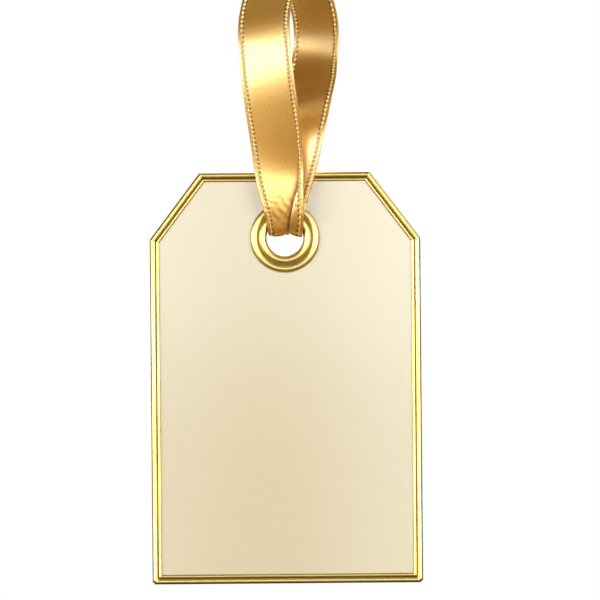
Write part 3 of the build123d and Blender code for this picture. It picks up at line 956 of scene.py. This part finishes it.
def tail_point(side, run, across, lift):
    """Points of a tail: the line's place, the cloth's distance across scaled by how far it has opened,
    and creases that are a wave across the width and die out as it opens. The run is stretched towards one
    selvedge for the cut."""
    run, across, lift = np.broadcast_arrays(run, across, lift)
    flat_run, v, up = run.ravel(), across.ravel(), lift.ravel()
    way = flat_run + (flat_run / TAIL_LENGTH) ** 3 * v * TAIL_CUT
    row = smooth_through(tail_places, np.c_[tail_line, tail_stations[:, 3]], way)
    ahead = smooth_through(tail_places, tail_line, way + RUN_STEP)
    astern = smooth_through(tail_places, tail_line, way - RUN_STEP)
    along = unit((ahead - astern)[:, [0, 2, 1]] * np.array([side, 1, 1]))
    facing = unit(np.array([0.0, 1.0, 0.0]) - along[:, 1:2] * along)
    level = np.cross(facing, along) * side
    opened = np.clip(row[:, 3], 0, 1)
    width = TAIL_GATHERED + (1 - TAIL_GATHERED) * opened
    crease = TAIL_CREASE * (1 - opened) * np.cos(2 * np.pi * v / TAIL_CREASE_PITCH + TAIL_CREASE_START)
    crease = crease + TAIL_RIPPLE * np.sin(way / RIPPLE_ALONG + v / RIPPLE_ACROSS)
    cup = TAIL_CUP * opened * (v / (RIBBON_WIDTH / 2)) ** 2
    out, fall, near = row[:, :3].T
    place = np.stack([side * (KNOT_HALF[0] + out), KNOT_CENTRE[1] + near, KNOT_CENTRE[2] + fall], -1)
    place = place + level * (v * width)[:, None] + facing * (crease + cup + up)[:, None]
    return from_eyelet(place.reshape(run.shape + (3,)))


print("right tail's end:", np.round(tail_point(1, np.array(TAIL_LENGTH), 0.0, 0.0) / MM, 1), "mm")

# %% Tails
TAIL_ROWS, TAIL_COLUMNS = 70, 49
TAIL_STITCH_START, TAIL_STITCH_STOP, TAIL_STITCH_EASE = 3.0, TAIL_LENGTH - 0.3, 1.0

tail_runs = np.linspace(0, TAIL_LENGTH, TAIL_ROWS)[:, None]
tail_across, tail_lift = strip_profile(TAIL_COLUMNS)
quads, caps = tube_faces(TAIL_ROWS, len(tail_across))
cloth = np.stack(np.broadcast_arrays(tail_across[None, :] + RIBBON_WIDTH / 2, tail_runs + TAIL_CLOTH), -1)
tails, seams = [], []
for side, name in ((-1, "left"), (1, "right")):
    surface = functools.partial(tail_point, side)
    points = surface(tail_runs, tail_across[None, :], tail_lift[None, :])
    tails.append(new_piece(f"satin_tail_{name}", points, quads.tolist() + caps, cloth))
    seams.append(stitch_rows(
        f"tail_stitching_{name}",
        surface,
        TAIL_STITCH_START,
        TAIL_STITCH_STOP,
        TAIL_STITCH_EASE,
    ))

# %% [markdown]
# ## The tie
# The knot and the tails swing with the eyelet, on the tie's body. The loop and the tails are cut from one
# flat ribbon.

# %% Tie on its body
for piece in seams:
    piece.data.materials.append(thread_finish)
    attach(piece, "ribbon_tie")
for piece in [bundle, wrap, *tails]:
    piece.data.materials.append(satin_finish)
    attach(piece, "ribbon_tie")
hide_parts("ribbon_knot")
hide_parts("ribbon_tail_left")
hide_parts("ribbon_tail_right")
print(f"ribbon in all {RIBBON_LENGTH + 2 * TAIL_LENGTH:.1f} mm, without what the knot takes up")

# %% [markdown]
# ## The rim
# A strip of brass is folded round the card's edge, with two beads pressed into its front. A Bevel
# modifier would round the solid's edges, but not make beads. The same sizes are worked out again as a
# section, and carried round the card's corners, where two neighbouring sides meet in a mitre. A groove
# value along the section darkens the finish there as painted shade: in the groove between the beads
# and along the rim's outer and inner edges.

# %% Arcs and grooves


def arc(start, crown, end, count):
    """Points on the circle through three: its middle solves two straight equations, and the angle runs
    evenly."""
    a, b, c = (np.array(p, float) for p in (start, crown, end))
    middle = np.linalg.solve(2 * np.array([b - a, c - a]), [b @ b - a @ a, c @ c - a @ a])
    angles = np.unwrap([np.arctan2(*(p - middle)[::-1]) for p in (a, b, c)])
    turn = np.interp(np.linspace(0, 1, count), [0, 0.5, 1], angles)
    return middle + np.linalg.norm(a - middle) * np.stack([np.cos(turn), np.sin(turn)], -1)


def groove_value(places, marks):
    """How much painted shade each place takes: a bell at every mark, which has a place, a reach and a
    share."""
    return sum(share * bell(places - place, reach) for place, reach, share in marks)


print("a half circle's crown:", np.round(arc((-1, 0), (0, 1), (1, 0), 3)[1], 3))

# %% Rim section
CARD_HALF_THICK = 0.70
RIM_METAL = 0.35
OUTER_BEAD, INNER_BEAD = 1.10, 0.65
RIM_WIDE = OUTER_BEAD + INNER_BEAD
BEAD_RISE, GROOVE_RISE = 0.42, 0.14
BACK_EASE_IN, BACK_EASE_OUT = 0.10, 0.12
FRONT_RISE = 0.05
OUTER_STEPS, INNER_STEPS = 25, 17
outer_crown = (OUTER_BEAD / 2, GROOVE_RISE + OUTER_BEAD * BEAD_RISE)
inner_crown = (OUTER_BEAD + INNER_BEAD / 2, GROOVE_RISE + INNER_BEAD * BEAD_RISE)
card_back = -2 * CARD_HALF_THICK
rim_back = card_back - RIM_METAL
# inward from the card's edge, and forward of its face
rim_section = np.concatenate([
    arc((0, GROOVE_RISE), outer_crown, (OUTER_BEAD, GROOVE_RISE), OUTER_STEPS),
    arc((OUTER_BEAD, GROOVE_RISE), inner_crown, (RIM_WIDE, GROOVE_RISE), INNER_STEPS)[1:],
    [(RIM_WIDE, 0.0), (RIM_METAL, 0.0), (RIM_METAL, card_back), (RIM_WIDE, card_back)],
    [(RIM_WIDE, rim_back + BACK_EASE_IN), (RIM_WIDE - BACK_EASE_IN, rim_back)],
    [(BACK_EASE_OUT, rim_back), (0.0, rim_back + BACK_EASE_OUT)],
])
on_front = rim_section[:, 1] > FRONT_RISE
# painted shade in the groove between the beads and along the outer and inner edges: a place, a reach and a
# share each
rim_marks = ((OUTER_BEAD, 0.16, 1.0), (0.0, 0.22, 0.8), (RIM_WIDE, 0.12, 0.6))
rim_groove_shade = groove_value(rim_section[:, 0], rim_marks) * on_front
print(f"rim section of {len(rim_section)} points, {np.ptp(rim_section[:, 1]):.2f} mm deep")

# %% Rim corners
TAG_HALF, TAG_TOP, TAG_BOTTOM = 25.0, 12.1, -63.9
CUT_WIDE, CUT_HIGH = 9.3, 12.3
NICK = 0.50
NICK_END = RIM_WIDE + 0.05

cut_length = math.hypot(CUT_WIDE, CUT_HIGH)
fade = NICK / NICK_END
half_corners = np.array([
    (TAG_HALF - CUT_WIDE, TAG_TOP),
    (TAG_HALF, TAG_TOP - CUT_HIGH),
    (TAG_HALF, TAG_BOTTOM + NICK),
    (TAG_HALF - NICK, TAG_BOTTOM),
])
# how a corner moves for each millimetre inwards: along the mitre, and at the bottom until the nick has
# closed
half_insets = np.array([
    (-(cut_length - CUT_WIDE) / CUT_HIGH, -1),
    (-1, -(cut_length - CUT_HIGH) / CUT_WIDE),
    (-1, 1 - fade),
    (-1 + fade, 1),
])
mirror = np.array([-1, 1])
rim_corners = np.r_[half_corners, half_corners[::-1] * mirror]
rim_insets = np.r_[half_insets, half_insets[::-1] * mirror]
print(f"{len(rim_corners)} corners, slanting sides {cut_length:.1f} mm long")

# %% Rim
spread = rim_corners[:, None, :] + rim_insets[:, None, :] * rim_section[None, :, :1]
rim_depth = np.broadcast_to(-CARD_HALF_THICK - rim_section[None, :, 1], spread.shape[:2])
rim_points = from_eyelet(np.stack([spread[..., 0], rim_depth, spread[..., 1]], -1))
brass_rim = new_piece("brass_rim", rim_points, closed_ring_faces(len(rim_corners), len(rim_section)).tolist())
keep_values(brass_rim, "groove_shade", np.tile(rim_groove_shade, len(rim_corners)))
brass_rim.data.set_sharp_from_angle(angle=math.radians(30))
# an edge between two points of one corner is a mitre, which stays crisp
mesh_edges = brass_rim.data.edges
edge_points = np.zeros(2 * len(mesh_edges), np.int32)
mesh_edges.foreach_get("vertices", edge_points)
corner_of = edge_points.reshape(-1, 2) // len(rim_section)
crisp = np.zeros(len(mesh_edges), bool)
sharp_edges = brass_rim.data.attributes["sharp_edge"].data
sharp_edges.foreach_get("value", crisp)
crisp |= corner_of[:, 0] == corner_of[:, 1]
sharp_edges.foreach_set("value", crisp)
print(f"{crisp.sum()} crisp edges on the rim")

# %% [markdown]
# ## Eyelet and washer
# The eyelet is a brass tube, rolled over at the front and spread behind, and the washer is a domed ring
# under its lip. A Screw modifier could turn a drawn profile. Here the sections, of arcs and straight
# runs, are turned by a formula, so that the painted groove shade goes round with them.

# %% Eyelet and washer
BORE, BARREL, LIP_OUT, FLANGE_OUT = 3.40, 3.70, 4.95, 6.30
PLATE_FRONT, LIP_EDGE, LIP_FRONT = -0.95, -1.03, -1.681
FLANGE_EDGE, FLANGE_BACK = 0.88, 1.46
WASHER_BORE, DOME_IN, DOME_OUT = 3.75, 5.0, 6.5
DOME_EDGE, DOME_CROWN = -0.80, -1.49
FRONT_SIDE = -0.75
DOME_STEPS = 25
RING_STEPS = 160


def turned_ring(name, section, marks):
    """The section turned about the eyelet's axis: across is radius times cosine, height radius times
    sine. Its painted groove shade counts on the front side only."""
    angle = np.linspace(0, 2 * np.pi, RING_STEPS + 1)[:-1, None]
    radius, depth = section[None, :, 0], section[None, :, 1]
    points = np.stack(np.broadcast_arrays(radius * np.cos(angle), depth, radius * np.sin(angle)), -1)
    piece = new_piece(name, from_eyelet(points), closed_ring_faces(RING_STEPS, len(section)).tolist())
    groove_shade = groove_value(section[:, 0], marks) * (section[:, 1] < FRONT_SIDE)
    keep_values(piece, "groove_shade", np.tile(groove_shade, RING_STEPS))
    piece.data.set_sharp_from_angle(angle=math.radians(40))
    return piece


# radius, and depth behind the card's middle
eyelet_section = np.concatenate([
    arc((BORE, LIP_EDGE), ((BORE + LIP_OUT) / 2, LIP_FRONT), (LIP_OUT, LIP_EDGE), DOME_STEPS),
    [(LIP_OUT, PLATE_FRONT), (BARREL, PLATE_FRONT), (BARREL, CARD_HALF_THICK), (FLANGE_OUT, CARD_HALF_THICK)],
    arc((FLANGE_OUT, FLANGE_EDGE), ((BORE + FLANGE_OUT) / 2, FLANGE_BACK), (BORE, FLANGE_EDGE), DOME_STEPS),
])
washer_section = np.concatenate([
    [(WASHER_BORE, PLATE_FRONT), (WASHER_BORE, -CARD_HALF_THICK), (DOME_OUT, -CARD_HALF_THICK)],
    arc((DOME_OUT, DOME_EDGE), ((DOME_IN + DOME_OUT) / 2, DOME_CROWN), (DOME_IN, PLATE_FRONT), DOME_STEPS),
])
# painted shade at the lip's outer edge, and at the washer's inner and outer edges
brass_eyelet = turned_ring("brass_eyelet", eyelet_section, ((LIP_OUT, 0.16, 1.0),))
brass_washer = turned_ring("brass_washer", washer_section, ((DOME_IN, 0.16, 1.0), (DOME_OUT, 0.10, 0.7)))

# %% [markdown]
# ## Brass
# Gold-tone brass, pressed and then polished on a mop. To the eye it is a warm metal with soft bright
# lines along each bead, and dark lines in its grooves and along its edges. The groove value mixes a
# dark colour in there as painted shade, and a fine noise keeps the polish from being perfect.

# %% Polished brass
# a mop leaves faint marks about a millimetre across
RUB_MARK = 1.2
RUB_RELIEF = 0.02
GROOVE_SHADE_DEPTH = 0.55

finish, tree = new_finish("polished_brass")
place = add(tree, "ShaderNodeTexCoord")
rub = add(tree, "ShaderNodeTexNoise", {
    "Vector": place.outputs["Object"],
    "Scale": 1 / (RUB_MARK * MM),
    "Detail": 3.0,
})
dull = add(tree, "ShaderNodeMapRange", {"Value": rub.outputs[0], "To Min": 0.32, "To Max": 0.37})
groove_shade = add(tree, "ShaderNodeAttribute", attribute_name="groove_shade")
groove_shaded = add(tree, "ShaderNodeMath", {0: groove_shade.outputs["Fac"], 1: GROOVE_SHADE_DEPTH}, operation="MULTIPLY")
# painted shade: the groove value mixes this dark brass colour in
tint = add(tree, "ShaderNodeMix", {
    "Factor": groove_shaded.outputs[0],
    "A": paint("#e6cf82"),
    "B": paint("#6b4a12"),
}, data_type="RGBA")
ripple = add(tree, "ShaderNodeBump", {
    "Height": rub.outputs[0],
    "Strength": 0.02,
    "Distance": RUB_RELIEF * MM,
})
brass = add(tree, "ShaderNodeBsdfPrincipled", {
    "Base Color": tint.outputs["Result"],
    "Metallic": 1.0,
    "Roughness": dull.outputs["Result"],
    "Normal": ripple.outputs[0],
})
add(tree, "ShaderNodeOutputMaterial", {"Surface": brass.outputs[0]})
for piece, node, slot in (
    (brass_rim, "rim", "rim_brass"),
    (brass_eyelet, "eyelet", "eyelet_brass"),
    (brass_washer, "eyelet_washer", "eyelet_brass"),
):
    piece.data.materials.append(finish)
    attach(piece, "card")
    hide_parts(node)
    print(f"{piece.name}: {finish.name}")

# %% [markdown]
# ## Papers
# The face is a champagne paper with a pearl coat, which gives the eye a soft sheen over a warm ground.
# The back is uncoated cream paper and the middle is grey board: both are dull, with a tooth of fibres.
# Their solids have the right shape, so only the finish is new. All three are clouded and pressed by a
# noise that stands for the fibres, and differ in colour, tooth and gloss.

# %% Fibrous finish


def fibrous(name, colour, fibre, detail, clouds, tooth, relief, gloss):
    """A paper or board: a noise as coarse as the fibre, in mm, clouds the colour between two shares of it
    and presses the surface by a relief, in mm. The gloss is what is even all over it."""
    finish, tree = new_finish(name)
    place = add(tree, "ShaderNodeTexCoord")
    fibres = add(tree, "ShaderNodeTexNoise", {
        "Vector": place.outputs["Object"],
        "Scale": 1 / (fibre * MM),
        "Detail": detail,
    }).outputs[0]
    cloud = add(tree, "ShaderNodeMapRange", {"Value": fibres, "To Min": clouds[0], "To Max": clouds[1]})
    tone = add(tree, "ShaderNodeVectorMath", {
        0: paint(colour)[:3],
        "Scale": cloud.outputs["Result"],
    }, operation="SCALE")
    press = add(tree, "ShaderNodeBump", {"Height": fibres, "Strength": tooth, "Distance": relief * MM})
    paper = add(tree, "ShaderNodeBsdfPrincipled", {
        "Base Color": tone.outputs[0],
        "Normal": press.outputs[0],
        **gloss,
    })
    add(tree, "ShaderNodeOutputMaterial", {"Surface": paper.outputs[0]})
    return finish


print("finishes so far:", ", ".join(sorted(finish.name for finish in bpy.data.materials)))

# %% Three papers
PEARL_GLOSS = {
    "Roughness": 0.11,
    "IOR": 1.9,
    "Specular IOR Level": 1.0,
    "Specular Tint": paint("#e4f5ff"),
}
DULL_GLOSS = {"Roughness": 0.82, "IOR": 1.45}
# real fibres are some hundredths of a millimetre wide: these are drawn coarser, so that they show
for node, name, colour, fibre, detail, clouds, tooth, relief, gloss in (
    ("front_sheet", "champagne_pearl_paper", "#e3cd9d", 0.6, 4.0, (0.97, 1.03), 0.1, 0.02, PEARL_GLOSS),
    ("back_sheet", "uncoated_cream_paper", "#ebe1cb", 0.5, 5.0, (0.92, 1.06), 0.25, 0.03, DULL_GLOSS),
    ("core_board", "grey_board", "#b4a68b", 0.8, 5.0, (0.92, 1.06), 0.5, 0.03, DULL_GLOSS),
):
    finish = fibrous(name, colour, fibre, detail, clouds, tooth, relief, gloss)
    nodes[node].data.materials.clear()
    nodes[node].data.materials.append(finish)
    print(f"{node}: {finish.name}")
